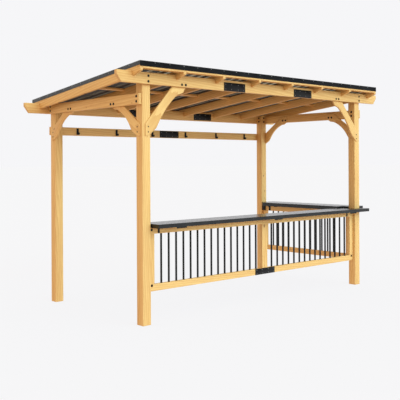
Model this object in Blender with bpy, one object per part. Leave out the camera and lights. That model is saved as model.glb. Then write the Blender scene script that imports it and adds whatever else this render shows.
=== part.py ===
"""Hardtop grill gazebo: a timber frame with a sheet-steel roof and two counters.

Metres, +Z up. The origin is on the ground under the middle of the four posts,
+X runs along the front and the front faces -Y.
"""

import bmesh
import bpy
from math import atan, cos, hypot, pi, sin

# Clearance between pieces that touch
GAP = 0.0003

# Posts, and the frame measured over their outer faces
FRAME_LENGTH = 3.245
FRAME_DEPTH = 1.605
POST_WIDTH = 0.090

# Front and back beams, bolted to the posts' outer faces
BEAM_LENGTH = 3.844
BEAM_HEIGHT = 0.105
BEAM_THICKNESS = 0.035
BEAM_NOSE = 0.037
BEAM_END_RUN = 0.052
FRONT_BEAM_BOTTOM = 2.166
BACK_BEAM_LOWER = 0.180
LEFT_JOINT_X = -0.498
RIGHT_JOINT_X = 0.5435

# Side beams, bolted to the posts' outer faces
SIDE_BEAM_HEIGHT = 0.100
SIDE_BEAM_THICKNESS = 0.031
SIDE_BEAM_LOWER = 0.181
SIDE_BEAM_INSET = 0.009

# Rafters, notched over the beams
RAFTER_COUNT = 8
RAFTER_SPAN = 3.480
RAFTER_THICKNESS = 0.030
RAFTER_DEPTH = 0.087
RAFTER_END_DEPTH = 0.0525
RAFTER_OVERHANG = 0.150
RAFTER_ABOVE_FRONT_BEAM = 0.033
RAFTER_ABOVE_BACK_BEAM = 0.029
BEAM_NOTCH_DEPTH = 0.030

# Purlins, let in flush with the rafters' tops; the outer two run over the ends
PURLIN_COUNT = 3
PURLIN_WIDTH = 0.045
PURLIN_DEPTH = 0.021
PURLIN_SETBACK = 0.002

# Ribbed roof sheets, each lapping over the first rib of the next
PANEL_COUNT = 3
RIBS_PER_PANEL = 12
SHEET_THICKNESS = 0.002
RIB_HEIGHT = 0.027
RIB_BASE = 0.044
RIB_TOP = 0.022
EDGE_FLAT = 0.055

# Folded edge trims of the roof
TRIM_THICKNESS = 0.0025
TRIM_FLANGE = 0.060
TRIM_DROP = 0.0045

# Knee braces, half-lapped to a post and a beam. A toe's corners are given from
# its heel, and a head's corners from its reach and the beam's underside.
BRACE_HALF = 0.0095
BRACE_HEEL = 0.030
BRACE_ARC_STEPS = 10
FRONT_BRACE_DROP = 0.462
FRONT_BRACE_REACH = 0.528
FRONT_BRACE_BOW = 0.018
FRONT_BRACE_SHOULDER = 0.110
FRONT_BRACE_TOE = ((0.035, 0), (0.125, 0.073), (0.143, 0.106))
FRONT_BRACE_HEAD = ((-0.125, -0.075), (-0.055, -0.051), (0, 0.033))
FRONT_BRACE_EAR = 0.010
SIDE_BRACE_DROP = 0.279
SIDE_BRACE_REACH = 0.470
SIDE_BRACE_BOW = 0.025
SIDE_BRACE_SHOULDER = 0.105
SIDE_BRACE_TOE = ((0.035, 0), (0.113, 0.044), (0.135, 0.074))
SIDE_BRACE_HEAD = ((-0.096, -0.027), (-0.053, -0.023), (-0.018, -0.002), (0, 0.020))
SIDE_BRACE_LAP = 0.075
SIDE_BRACE_LAP_WIDTH = 0.092

# Steel joint plates
PLATE_LENGTH = 0.294
PLATE_THICKNESS = 0.003
BEAM_PLATE_HEIGHT = 0.084
FRONT_PLATE_RISE = 0
BACK_PLATE_RISE = 0.010
HOOK_BAR_PLATE_HEIGHT = 0.082

# Hook bar on the back posts
HOOK_BAR_DROP = 0.224
HOOK_BAR_HEIGHT = 0.088
HOOK_BAR_THICKNESS = 0.032
HOOK_COUNT = 6
HOOK_INSET = 0.240
HOOK_WIDTH = 0.028
HOOK_STEEL = 0.003
HOOK_HEIGHT = 0.070
HOOK_RADIUS = 0.013
HOOK_TIP = 0.012
HOOK_ARC_STEPS = 8

# Railings
RAIL_HEIGHT = 0.0625
RAIL_THICKNESS = 0.035
RAIL_SETBACK = 0.030
BOTTOM_RAIL = 0.294
END_STILE = 0.063
MIDDLE_STILE = 0.039
BALUSTER_DIAMETER = 0.0165
FRONT_BALUSTERS = 15
SIDE_BALUSTERS = 15
BALUSTER_SIDES = 12
BALUSTER_TENON = 0.010

# Counters, folded from sheet steel
COUNTER_STEEL = 0.0025
FRONT_COUNTER_TOP = 0.910
COUNTER_ABOVE_RAIL = 0.032
FRONT_COUNTER_LIP = 0.030
FRONT_COUNTER_OUT = 0.110
FRONT_COUNTER_IN = 0.170
FRONT_COUNTER_START = 0.010
FRONT_COUNTER_PAST = 0.045
SIDE_COUNTER_STEP = 0.020
SIDE_COUNTER_LIP = 0.025
SIDE_COUNTER_OUT = 0.125
SIDE_COUNTER_IN = 0.195
SIDE_COUNTER_END = 0.010
COUNTER_CLEARANCE = 0.002
BRACKET_WIDTH = 0.135
FRONT_BRACKET_SPACING = 1.310
SIDE_BRACKET_SPACING = 0.900
BRACKET_TAB = 0.010
STRAP_WIDTH = 0.022
STRAP_DROP = 0.060
STRAP_INSET = 0.116
END_TAB_WIDTH = 0.077
END_TAB_DROP = 0.080

# Places that follow from the sizes above
POST_X = FRAME_LENGTH / 2
POST_Y = FRAME_DEPTH / 2
INNER_X = POST_X - POST_WIDTH
INNER_Y = POST_Y - POST_WIDTH
FRONT_BEAM_TOP = FRONT_BEAM_BOTTOM + BEAM_HEIGHT
BACK_BEAM_BOTTOM = FRONT_BEAM_BOTTOM - BACK_BEAM_LOWER
BACK_BEAM_TOP = BACK_BEAM_BOTTOM + BEAM_HEIGHT
SIDE_BEAM_BOTTOM = FRONT_BEAM_BOTTOM - SIDE_BEAM_LOWER
HOOK_BAR_BOTTOM = BACK_BEAM_BOTTOM - HOOK_BAR_DROP
FRONT_BRACE_FOOT = FRONT_BEAM_BOTTOM - FRONT_BRACE_DROP
SIDE_BRACE_FOOT = SIDE_BEAM_BOTTOM - SIDE_BRACE_DROP
BEAM_Y = POST_Y + GAP + BEAM_THICKNESS / 2
RAFTER_END_Y = POST_Y + RAFTER_OVERHANG
ROOF_X = (RAFTER_SPAN + RAFTER_THICKNESS) / 2
RAIL_TOP = FRONT_COUNTER_TOP - COUNTER_ABOVE_RAIL
TOP_RAIL = RAIL_TOP - RAIL_HEIGHT
SIDE_COUNTER_TOP = FRONT_COUNTER_TOP + SIDE_COUNTER_STEP
ROOF_FALL = (
    FRONT_BEAM_TOP + RAFTER_ABOVE_FRONT_BEAM - BACK_BEAM_TOP - RAFTER_ABOVE_BACK_BEAM
) / (2 * BEAM_Y)
ROOF_ANGLE = atan(ROOF_FALL)


def rafter_top(y):
    """Height of the rafters' top edge at depth y."""
    return FRONT_BEAM_TOP + RAFTER_ABOVE_FRONT_BEAM - ROOF_FALL * (y + BEAM_Y)


def rafter_x(index):
    """Centre of a rafter, counted from 0 at the left."""
    return -RAFTER_SPAN / 2 + index * RAFTER_SPAN / (RAFTER_COUNT - 1)


def purlin_y(index):
    """Depth of a purlin's centre, counted from 0 at the front."""
    first = PURLIN_SETBACK + PURLIN_WIDTH / 2 - RAFTER_END_Y
    return first - index * 2 * first / (PURLIN_COUNT - 1)


def flange_under(y):
    """Height of the underside of the trims' flanges, which lie on the ribs."""
    return rafter_top(y) + RIB_HEIGHT + SHEET_THICKNESS + 3 * GAP


# Materials
def make_material(name, colour, roughness, metallic=0.0):
    """A plain Principled material."""
    made = bpy.data.materials.new(name)
    made.use_nodes = True
    shader = made.node_tree.nodes["Principled BSDF"]
    shader.inputs["Base Color"].default_value = (*colour, 1.0)
    shader.inputs["Roughness"].default_value = roughness
    shader.inputs["Metallic"].default_value = metallic
    return made


# Shape helpers
def place(name, mesh, finish, location=(0, 0, 0)):
    """Add an object that shows the given mesh."""
    if finish and not mesh.materials:
        mesh.materials.append(finish)
    piece = bpy.data.objects.new(name, mesh)
    piece.location = location
    bpy.context.scene.collection.objects.link(piece)
    return piece


def finish_mesh(name, bm):
    """Turn a bmesh into a mesh whose faces point out."""
    bmesh.ops.recalc_face_normals(bm, faces=bm.faces)
    mesh = bpy.data.meshes.new(name)
    bm.to_mesh(mesh)
    bm.free()
    return mesh


def add_prism(bm, outline, run):
    """Extrude a flat outline of 3-D points along the vector run."""
    base = bm.faces.new([bm.verts.new(point) for point in outline])
    grown = bmesh.ops.extrude_face_region(bm, geom=[base])["geom"]
    corners = [part for part in grown if isinstance(part, bmesh.types.BMVert)]
    bmesh.ops.translate(bm, verts=corners, vec=run)


def add_block(bm, low, high):
    """Add a square-edged block between two corners."""
    outline = [
        (low[0], low[1], low[2]),
        (high[0], low[1], low[2]),
        (high[0], high[1], low[2]),
        (low[0], high[1], low[2]),
    ]
    add_prism(bm, outline, (0, 0, high[2] - low[2]))


def prism(name, outline, run, finish, location=(0, 0, 0)):
    """One prism as an object."""
    bm = bmesh.new()
    add_prism(bm, outline, run)
    return place(name, finish_mesh(name, bm), finish, location)


def block(name, size, centre, finish):
    """One block as an object, with its origin in its middle."""
    half = [side / 2 for side in size]
    bm = bmesh.new()
    add_block(bm, [-side for side in half], half)
    return place(name, finish_mesh(name, bm), finish, centre)


def guide(name, corners=(), outlines=(), run=(0, 0, 0)):
    """A helper of separate blocks and prisms that only cuts or joins others."""
    bm = bmesh.new()
    for low, high in corners:
        add_block(bm, low, high)
    for outline in outlines:
        add_prism(bm, outline, run)
    return hide(place(name, finish_mesh(name, bm), None))


def hide(piece):
    """Mark an object as a helper."""
    piece.hide_render = True
    piece.display_type = "WIRE"
    return piece


def combine(piece, helper, operation="DIFFERENCE"):
    """Cut a helper out of a piece, or join it on."""
    step = piece.modifiers.new(helper.name, "BOOLEAN")
    step.operation = operation
    step.solver = "EXACT"
    step.object = helper


def sloped_rectangle(y, before, behind, below, above):
    """Corners of a rectangle that lies along the roof's slope around depth y."""
    along = (cos(ROOF_ANGLE), -sin(ROOF_ANGLE))
    up = (sin(ROOF_ANGLE), cos(ROOF_ANGLE))
    corners = ((-before, -below), (behind, -below), (behind, above), (-before, above))
    return [
        (y + run * along[0] + rise * up[0], rafter_top(y) + run * along[1] + rise * up[1])
        for run, rise in corners
    ]


def arc_points(start, end, bow, steps):
    """Points of a shallow arc that bulges to the left of its chord by bow."""
    chord = hypot(end[0] - start[0], end[1] - start[1])
    along = ((end[0] - start[0]) / chord, (end[1] - start[1]) / chord)
    radius = (chord * chord / 4 + bow * bow) / (2 * bow)
    points = []
    for index in range(steps + 1):
        run = chord * index / steps
        rise = (radius * radius - (run - chord / 2) ** 2) ** 0.5 - radius + bow
        x = start[0] + along[0] * run - along[1] * rise
        z = start[1] + along[1] * run + along[0] * rise
        points.append((x, z))
    return points


def thicken(line, thickness):
    """Closed outline of a sheet whose underside follows a line of points."""
    normals = []
    for (x0, z0), (x1, z1) in zip(line, line[1:]):
        length = hypot(x1 - x0, z1 - z0)
        normals.append((-(z1 - z0) / length, (x1 - x0) / length))
    outer = []
    for index, (x, z) in enumerate(line):
        before = normals[max(index - 1, 0)]
        after = normals[min(index, len(normals) - 1)]
        share = thickness / (1 + before[0] * after[0] + before[1] * after[1])
        outer.append((x + share * (before[0] + after[0]), z + share * (before[1] + after[1])))
    return line + outer[::-1]


# Frame
def make_posts(wood):
    """Four square posts, each cut level with the beam it carries."""
    x = POST_X - POST_WIDTH / 2
    y = POST_Y - POST_WIDTH / 2
    for row, sign_y, height in (("front", -1, FRONT_BEAM_TOP), ("back", 1, BACK_BEAM_TOP)):
        for side, sign_x in (("left", -1), ("right", 1)):
            size = (POST_WIDTH, POST_WIDTH, height)
            block(f"post_{row}_{side}", size, (sign_x * x, sign_y * y, height / 2), wood)


def make_rafter_slots(row, y, top):
    """The slots across a beam's top that the rafters sit in."""
    half_x = RAFTER_THICKNESS / 2 + GAP
    corners = []
    for index in range(RAFTER_COUNT):
        x = rafter_x(index)
        low = (x - half_x, y - BEAM_THICKNESS, top - BEAM_NOTCH_DEPTH)
        high = (x + half_x, y + BEAM_THICKNESS, top + BEAM_NOTCH_DEPTH)
        corners.append((low, high))
    return guide(f"{row}_beam_slots", corners)


def make_long_beam(row, y, bottom, wood):
    """A beam in three lengths that butt end to end, with sloping outer ends."""
    top = bottom + BEAM_HEIGHT
    slots = make_rafter_slots(row, y, top)
    end = BEAM_LENGTH / 2
    half_gap = GAP / 2
    stretches = (
        ("left", -end, LEFT_JOINT_X - half_gap),
        ("middle", LEFT_JOINT_X + half_gap, RIGHT_JOINT_X - half_gap),
        ("right", RIGHT_JOINT_X + half_gap, end),
    )
    for side, start, stop in stretches:
        outline = [(start, top), (stop, top)]
        if side == "right":
            outline += [(stop, top - BEAM_NOSE), (stop - BEAM_END_RUN, bottom)]
        else:
            outline += [(stop, bottom)]
        if side == "left":
            outline += [(start + BEAM_END_RUN, bottom), (start, top - BEAM_NOSE)]
        else:
            outline += [(start, bottom)]
        face = [(x, -BEAM_THICKNESS / 2, z) for x, z in outline]
        beam = prism(f"{row}_beam_{side}", face, (0, BEAM_THICKNESS, 0), wood, (0, y, 0))
        combine(beam, slots)


def make_side_beams(wood):
    """The beams that tie each front post to the back post behind it."""
    length = FRAME_DEPTH - 2 * SIDE_BEAM_INSET
    x = POST_X + GAP + SIDE_BEAM_THICKNESS / 2
    z = SIDE_BEAM_BOTTOM + SIDE_BEAM_HEIGHT / 2
    for side, sign in (("left", -1), ("right", 1)):
        size = (SIDE_BEAM_THICKNESS, length, SIDE_BEAM_HEIGHT)
        block(f"side_beam_{side}", size, (sign * x, 0, z), wood)


# Knee braces
def brace_edge(foot, toe, reach, beam, head, bow):
    """Lower edge of a brace: the heel, the toe, a shallow arc and the head."""
    toe_corners = [(BRACE_HEEL + run, foot + rise) for run, rise in toe]
    head_corners = [(reach + run, beam + rise) for run, rise in head]
    arc = arc_points(toe_corners[-1], head_corners[0], bow, BRACE_ARC_STEPS)
    return [(BRACE_HEEL, foot), *toe_corners[:-1], *arc, *head_corners[1:]]


def front_brace_outline():
    """A front brace: distance in from the post's outer corner, and height."""
    head_top = FRONT_BEAM_TOP - BEAM_NOTCH_DEPTH
    rafter_right = POST_X + rafter_x(1) + RAFTER_THICKNESS / 2 + GAP
    under_rafter = rafter_top(BRACE_HALF - POST_Y) - RAFTER_DEPTH - GAP
    edge = brace_edge(
        FRONT_BRACE_FOOT,
        FRONT_BRACE_TOE,
        FRONT_BRACE_REACH,
        FRONT_BEAM_BOTTOM,
        FRONT_BRACE_HEAD,
        FRONT_BRACE_BOW,
    )
    return [
        *edge,
        (FRONT_BRACE_REACH, head_top),
        (rafter_right, head_top),
        (rafter_right, under_rafter),
        (rafter_right - FRONT_BRACE_EAR, under_rafter),
        (BRACE_HEEL, FRONT_BRACE_FOOT + FRONT_BRACE_SHOULDER),
    ]


def side_brace_outline():
    """A side brace: distance in from the post's outer corner, and height."""
    lap_top = SIDE_BEAM_BOTTOM + SIDE_BRACE_LAP
    edge = brace_edge(
        SIDE_BRACE_FOOT,
        SIDE_BRACE_TOE,
        SIDE_BRACE_REACH,
        SIDE_BEAM_BOTTOM,
        SIDE_BRACE_HEAD,
        SIDE_BRACE_BOW,
    )
    return [
        *edge,
        (SIDE_BRACE_REACH, lap_top),
        (SIDE_BRACE_REACH - SIDE_BRACE_LAP_WIDTH, lap_top),
        (BRACE_HEEL, SIDE_BRACE_FOOT + SIDE_BRACE_SHOULDER),
    ]


def make_braces(wood):
    """Six knee braces, notched over the posts and behind the beams."""
    posts = []
    for sign_x in (-1, 1):
        for sign_y in (-1, 1):
            x = sorted((sign_x * (POST_X + GAP), sign_x * (INNER_X - GAP)))
            y = sorted((sign_y * (POST_Y + GAP), sign_y * (INNER_Y - GAP)))
            posts.append(((x[0], y[0], 0), (x[1], y[1], FRONT_BEAM_BOTTOM - POST_WIDTH)))
    post_laps = guide("post_laps", posts)
    front = (
        (-POST_X, -POST_Y - BEAM_THICKNESS - 2 * GAP, FRONT_BEAM_BOTTOM - GAP),
        (POST_X, -POST_Y, FRONT_BEAM_TOP),
    )
    left = (
        (-POST_X - SIDE_BEAM_THICKNESS - 2 * GAP, -INNER_Y, SIDE_BEAM_BOTTOM - GAP),
        (-POST_X, INNER_Y, FRONT_BEAM_BOTTOM),
    )
    right = (
        (POST_X, -INNER_Y, SIDE_BEAM_BOTTOM - GAP),
        (POST_X + SIDE_BEAM_THICKNESS + 2 * GAP, INNER_Y, FRONT_BEAM_BOTTOM),
    )
    beam_laps = guide("beam_laps", (front, left, right))

    for side, sign in (("left", -1), ("right", 1)):
        face = [(sign * -a, -BRACE_HALF, z) for a, z in front_brace_outline()]
        corner = (sign * POST_X, -POST_Y, 0)
        brace = prism(f"brace_front_{side}", face, (0, 2 * BRACE_HALF, 0), wood, corner)
        combine(brace, post_laps)
        combine(brace, beam_laps)
        for row, sign_y in (("front", -1), ("back", 1)):
            face = [(-BRACE_HALF, sign_y * -a, z) for a, z in side_brace_outline()]
            corner = (sign * POST_X, sign_y * POST_Y, 0)
            brace = prism(f"brace_{side}_{row}", face, (2 * BRACE_HALF, 0, 0), wood, corner)
            combine(brace, post_laps)
            combine(brace, beam_laps)


# Roof frame
def make_rafters(wood):
    """Rafters with tapered tails, notched over the beams and under the purlins."""
    end = RAFTER_END_Y
    outline = [
        (-end, rafter_top(-end)),
        (-end, rafter_top(-end) - RAFTER_END_DEPTH),
        (-POST_Y, rafter_top(-POST_Y) - RAFTER_DEPTH),
        (POST_Y, rafter_top(POST_Y) - RAFTER_DEPTH),
        (end, rafter_top(end) - RAFTER_END_DEPTH),
        (end, rafter_top(end)),
    ]
    bm = bmesh.new()
    add_prism(bm, [(-RAFTER_THICKNESS / 2, y, z) for y, z in outline], (RAFTER_THICKNESS, 0, 0))
    mesh = finish_mesh("rafter", bm)

    seats = []
    for y, top in ((-BEAM_Y, FRONT_BEAM_TOP), (BEAM_Y, BACK_BEAM_TOP)):
        half = BEAM_THICKNESS / 2 + GAP
        seat = top - BEAM_NOTCH_DEPTH + GAP
        seats.append(((-POST_X * 2, y - half, seat - RAFTER_DEPTH), (POST_X * 2, y + half, seat)))
    beam_seats = guide("beam_seats", seats)

    half = PURLIN_WIDTH / 2 + GAP
    past_tip = PURLIN_WIDTH + PURLIN_SETBACK
    below = PURLIN_DEPTH + GAP
    slots = []
    for index in range(PURLIN_COUNT):
        before = past_tip if index == 0 else half
        behind = past_tip if index == PURLIN_COUNT - 1 else half
        corners = sloped_rectangle(purlin_y(index), before, behind, below, PURLIN_DEPTH)
        slots.append([(-POST_X * 2, y, z) for y, z in corners])
    purlin_slots = guide("purlin_slots", outlines=slots, run=(POST_X * 4, 0, 0))

    for index in range(RAFTER_COUNT):
        rafter = place(f"rafter_{index + 1}", mesh, wood, (rafter_x(index), 0, 0))
        combine(rafter, beam_seats)
        combine(rafter, purlin_slots)


def make_purlins(wood):
    """Purlins from outer rafter to outer rafter, tilted with the roof."""
    for index in range(PURLIN_COUNT):
        y = purlin_y(index)
        size = (2 * ROOF_X, PURLIN_WIDTH, PURLIN_DEPTH)
        drop = PURLIN_DEPTH / 2
        centre = (0, y - drop * sin(ROOF_ANGLE), rafter_top(y) - drop * cos(ROOF_ANGLE))
        purlin = block(f"purlin_{index + 1}", size, centre, wood)
        purlin.rotation_euler = (-ROOF_ANGLE, 0, 0)


# Roof skin
def rib_line(x, lift):
    """Underside of one rib, raised by lift where it laps over another rib."""
    rise = RIB_HEIGHT - SHEET_THICKNESS
    run = (RIB_BASE - RIB_TOP) / 2
    spread = lift * hypot(run, rise) / rise
    lean = lift * run / rise
    return [
        (x - RIB_BASE / 2 - spread, 0),
        (x - RIB_TOP / 2 - spread + lean, rise + lift),
        (x + RIB_TOP / 2 + spread - lean, rise + lift),
        (x + RIB_BASE / 2 + spread - lean, lift),
    ]


def make_roof_panels(steel):
    """Ribbed sheets that run down the slope and lap at their edge ribs."""
    pitch = 2 * (ROOF_X - EDGE_FLAT) / (PANEL_COUNT * (RIBS_PER_PANEL - 1))
    fall = 2 * RAFTER_END_Y
    for panel in range(PANEL_COUNT):
        first = -ROOF_X + EDGE_FLAT + panel * (RIBS_PER_PANEL - 1) * pitch
        line = []
        if panel == 0:
            line.append((-ROOF_X, 0))
        for rib in range(RIBS_PER_PANEL):
            laps = rib == RIBS_PER_PANEL - 1 and panel < PANEL_COUNT - 1
            line += rib_line(first + rib * pitch, SHEET_THICKNESS + GAP if laps else 0)
        if panel == PANEL_COUNT - 1:
            line.append((ROOF_X, 0))
        section = [(x, 0, z) for x, z in thicken(line, SHEET_THICKNESS)]
        eave = (0, -RAFTER_END_Y, rafter_top(-RAFTER_END_Y) + GAP)
        prism(f"roof_panel_{panel + 1}", section, (0, fall, -ROOF_FALL * fall), steel, eave)


def make_roof_trims(steel):
    """Angle trims: a leg down each edge and a flange that lies on the ribs."""
    outer_x = ROOF_X + GAP + TRIM_THICKNESS
    end = RAFTER_END_Y
    for row, sign in (("front", -1), ("back", 1)):
        face = sign * (end + GAP + TRIM_THICKNESS)
        inner = sign * (end + GAP)
        tip = face - sign * TRIM_FLANGE
        section = [
            (face, rafter_top(face) - TRIM_DROP),
            (face, flange_under(face) + TRIM_THICKNESS),
            (tip, flange_under(tip) + TRIM_THICKNESS),
            (tip, flange_under(tip)),
            (inner, flange_under(inner)),
            (inner, rafter_top(inner) - TRIM_DROP),
        ]
        outline = [(-outer_x, y, z) for y, z in section]
        prism(f"roof_trim_{row}", outline, (2 * outer_x, 0, 0), steel)

    laps = []
    for sign in (-1, 1):
        near = sign * (end + TRIM_FLANGE)
        far = sign * (end + TRIM_THICKNESS - TRIM_FLANGE)
        cover = [(near, flange_under(near) - GAP), (far, flange_under(far) - GAP)]
        cover += [(far, flange_under(far) + TRIM_FLANGE), (near, flange_under(near) + TRIM_FLANGE)]
        laps.append([(-2 * POST_X, y, z) for y, z in cover])
    corner_laps = guide("trim_corner_laps", outlines=laps, run=(4 * POST_X, 0, 0))

    under = flange_under(-end) - rafter_top(-end)
    top = under + TRIM_THICKNESS
    for side, sign in (("left", -1), ("right", 1)):
        section = [
            (outer_x, -TRIM_DROP),
            (outer_x, top),
            (outer_x - TRIM_FLANGE, top),
            (outer_x - TRIM_FLANGE, under),
            (ROOF_X + GAP, under),
            (ROOF_X + GAP, -TRIM_DROP),
        ]
        outline = [(sign * x, 0, z) for x, z in section]
        eave = (0, -end, rafter_top(-end))
        run = (0, 2 * end, -ROOF_FALL * 2 * end)
        trim = prism(f"roof_trim_{side}", outline, run, steel, eave)
        combine(trim, corner_laps)


# Joint plates
def make_plates(steel):
    """Plates screwed over the joints of the beams, the hook bar and the rails."""
    half = PLATE_THICKNESS / 2
    beam_size = (PLATE_LENGTH, PLATE_THICKNESS, BEAM_PLATE_HEIGHT)
    front_y = -BEAM_Y - BEAM_THICKNESS / 2 - GAP - half
    front_z = FRONT_BEAM_BOTTOM + FRONT_PLATE_RISE + BEAM_PLATE_HEIGHT / 2
    back_z = BACK_BEAM_BOTTOM + BACK_PLATE_RISE + BEAM_PLATE_HEIGHT / 2
    for side, x in (("left", LEFT_JOINT_X), ("right", RIGHT_JOINT_X)):
        block(f"front_beam_plate_{side}", beam_size, (x, front_y, front_z), steel)
        block(f"back_beam_plate_{side}", beam_size, (x, POST_Y - half, back_z), steel)

    bar_z = HOOK_BAR_BOTTOM + HOOK_BAR_HEIGHT / 2
    bar_size = (PLATE_LENGTH, PLATE_THICKNESS, HOOK_BAR_PLATE_HEIGHT)
    block("hook_bar_plate", bar_size, (0, POST_Y - half, bar_z), steel)

    rail_y = RAIL_SETBACK - POST_Y - GAP - half
    rail_size = (PLATE_LENGTH, PLATE_THICKNESS, RAIL_HEIGHT)
    block("rail_plate", rail_size, (0, rail_y, BOTTOM_RAIL + RAIL_HEIGHT / 2), steel)


# Hook bar
def make_hook_bar(wood):
    """A bar in two lengths across the backs of the back posts."""
    length = POST_X - GAP / 2
    y = POST_Y + GAP + HOOK_BAR_THICKNESS / 2
    z = HOOK_BAR_BOTTOM + HOOK_BAR_HEIGHT / 2
    for side, sign in (("left", -1), ("right", 1)):
        size = (length, HOOK_BAR_THICKNESS, HOOK_BAR_HEIGHT)
        block(f"hook_bar_{side}", size, (sign * (GAP + length) / 2, y, z), wood)


def make_hooks(steel):
    """Flat steel hooks: a strip on the bar, a round bend and an upturned tip."""
    low = (HOOK_BAR_HEIGHT - HOOK_HEIGHT) / 2 + HOOK_RADIUS
    line = [(0, low + HOOK_HEIGHT - HOOK_RADIUS)]
    for index in range(HOOK_ARC_STEPS + 1):
        turn = pi * index / HOOK_ARC_STEPS
        line.append((-HOOK_RADIUS + HOOK_RADIUS * cos(turn), low - HOOK_RADIUS * sin(turn)))
    line.append((-2 * HOOK_RADIUS, low + HOOK_TIP))
    section = thicken(line[::-1], HOOK_STEEL)
    bm = bmesh.new()
    add_prism(bm, [(-HOOK_WIDTH / 2, y, z) for y, z in section], (HOOK_WIDTH, 0, 0))
    mesh = finish_mesh("hook", bm)
    mesh.shade_smooth()
    mesh.set_sharp_from_angle(angle=pi / 4)
    first = HOOK_INSET - INNER_X
    for index in range(HOOK_COUNT):
        x = first - index * 2 * first / (HOOK_COUNT - 1)
        place(f"hook_{index + 1}", mesh, steel, (x, POST_Y, HOOK_BAR_BOTTOM))


# Railings
def make_bars(name, start, stop, count):
    """A row of round bars, evenly spaced between two stiles."""
    bm = bmesh.new()
    length = TOP_RAIL - BOTTOM_RAIL - RAIL_HEIGHT + 2 * BALUSTER_TENON
    pitch = (stop - start + BALUSTER_DIAMETER) / (count + 1)
    radius = BALUSTER_DIAMETER / 2
    bottom = BOTTOM_RAIL + RAIL_HEIGHT - BALUSTER_TENON
    for index in range(count):
        x = start - radius + (index + 1) * pitch
        ring = []
        for side in range(BALUSTER_SIDES):
            turn = 2 * pi * side / BALUSTER_SIDES
            ring.append((x + radius * cos(turn), radius * sin(turn), bottom))
        add_prism(bm, ring, (0, 0, length))
    return finish_mesh(name, bm)


def make_railing(name, length, stiles, count, location, turn, wood):
    """Two rails and two stiles around a window of round bars."""
    half = RAIL_THICKNESS / 2
    window_low = BOTTOM_RAIL + RAIL_HEIGHT
    outline = [
        (0, -half, BOTTOM_RAIL),
        (length, -half, BOTTOM_RAIL),
        (length, -half, RAIL_TOP),
        (0, -half, RAIL_TOP),
    ]
    railing = prism(name, outline, (0, RAIL_THICKNESS, 0), wood, location)
    window = (
        (stiles[0], -RAIL_THICKNESS, window_low),
        (length - stiles[1], RAIL_THICKNESS, TOP_RAIL),
    )
    opening = guide(f"{name}_window", (window,))
    bars = make_bars(f"{name}_bars", stiles[0], length - stiles[1], count)
    bars = hide(place(f"{name}_bars", bars, None))
    for helper in (opening, bars):
        helper.location = location
        helper.rotation_euler = (0, 0, turn)
    railing.rotation_euler = (0, 0, turn)
    combine(railing, opening)
    combine(railing, bars, "UNION")


def make_railings(wood):
    """The front railing in two lengths, and the railing on the right side."""
    y = RAIL_SETBACK + RAIL_THICKNESS / 2 - POST_Y
    half = INNER_X - GAP * 3 / 2
    tab = COUNTER_STEEL + GAP
    ends = (END_STILE, MIDDLE_STILE)
    start = (GAP + tab - INNER_X, y, 0)
    make_railing("railing_front_left", half - tab, ends, FRONT_BALUSTERS, start, 0, wood)
    start = (GAP / 2, y, 0)
    make_railing("railing_front_right", half, ends[::-1], FRONT_BALUSTERS, start, 0, wood)
    length = 2 * (INNER_Y - GAP) - tab
    start = (POST_X - RAIL_SETBACK - RAIL_THICKNESS / 2, GAP - INNER_Y, 0)
    ends = (END_STILE, END_STILE)
    make_railing("railing_right", length, ends, SIDE_BALUSTERS, start, pi / 2, wood)


# Counters
def make_counter(name, outline, top, lip, supports, steel):
    """A tray folded down at its edges, with its supports joined on below."""
    bm = bmesh.new()
    add_prism(bm, [(x, y, top - lip) for x, y in outline], (0, 0, lip))
    bmesh.ops.recalc_face_normals(bm, faces=bm.faces)
    underside = min(bm.faces, key=lambda face: face.calc_center_median().z)
    bmesh.ops.delete(bm, geom=[underside], context="FACES_ONLY")
    mesh = bpy.data.meshes.new(name)
    bm.to_mesh(mesh)
    bm.free()
    tray = place(name, mesh, steel)
    shell = tray.modifiers.new("folded_sheet", "SOLIDIFY")
    shell.thickness = COUNTER_STEEL
    shell.offset = -1
    shell.use_even_offset = True
    for number, corners in enumerate(supports):
        combine(tray, guide(f"{name}_support_{number + 1}", (corners,)), "UNION")


def bracket_legs(centre):
    """The spans of a bracket's two legs, measured along its counter."""
    outer = BRACKET_WIDTH / 2
    inner = outer - COUNTER_STEEL
    return (centre - outer, centre - inner), (centre + inner, centre + outer)


def front_counter_supports(left, right):
    """Bracket legs, straps and the tab that carry the front counter."""
    buried = FRONT_COUNTER_TOP - COUNTER_STEEL / 2
    front = -POST_Y - FRONT_COUNTER_OUT + COUNTER_STEEL / 2
    back = -POST_Y + FRONT_COUNTER_IN - COUNTER_STEEL / 2
    rail_face = RAIL_SETBACK - POST_Y - GAP
    supports = []
    for step in (-1, 0, 1):
        x = step * FRONT_BRACKET_SPACING + (left + right) / 2
        for start, stop in bracket_legs(x):
            supports.append(((start, front, RAIL_TOP + GAP), (stop, back, buried)))
        tab_low = (x - BRACKET_WIDTH / 2, rail_face - COUNTER_STEEL, RAIL_TOP - BRACKET_TAB)
        supports.append((tab_low, (x + BRACKET_WIDTH / 2, rail_face, buried)))
    for x in (STRAP_INSET - INNER_X, INNER_X - STRAP_INSET):
        low = (x - STRAP_WIDTH / 2, rail_face - COUNTER_STEEL, RAIL_TOP - STRAP_DROP)
        supports.append((low, (x + STRAP_WIDTH / 2, rail_face, buried)))
    return supports


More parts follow.
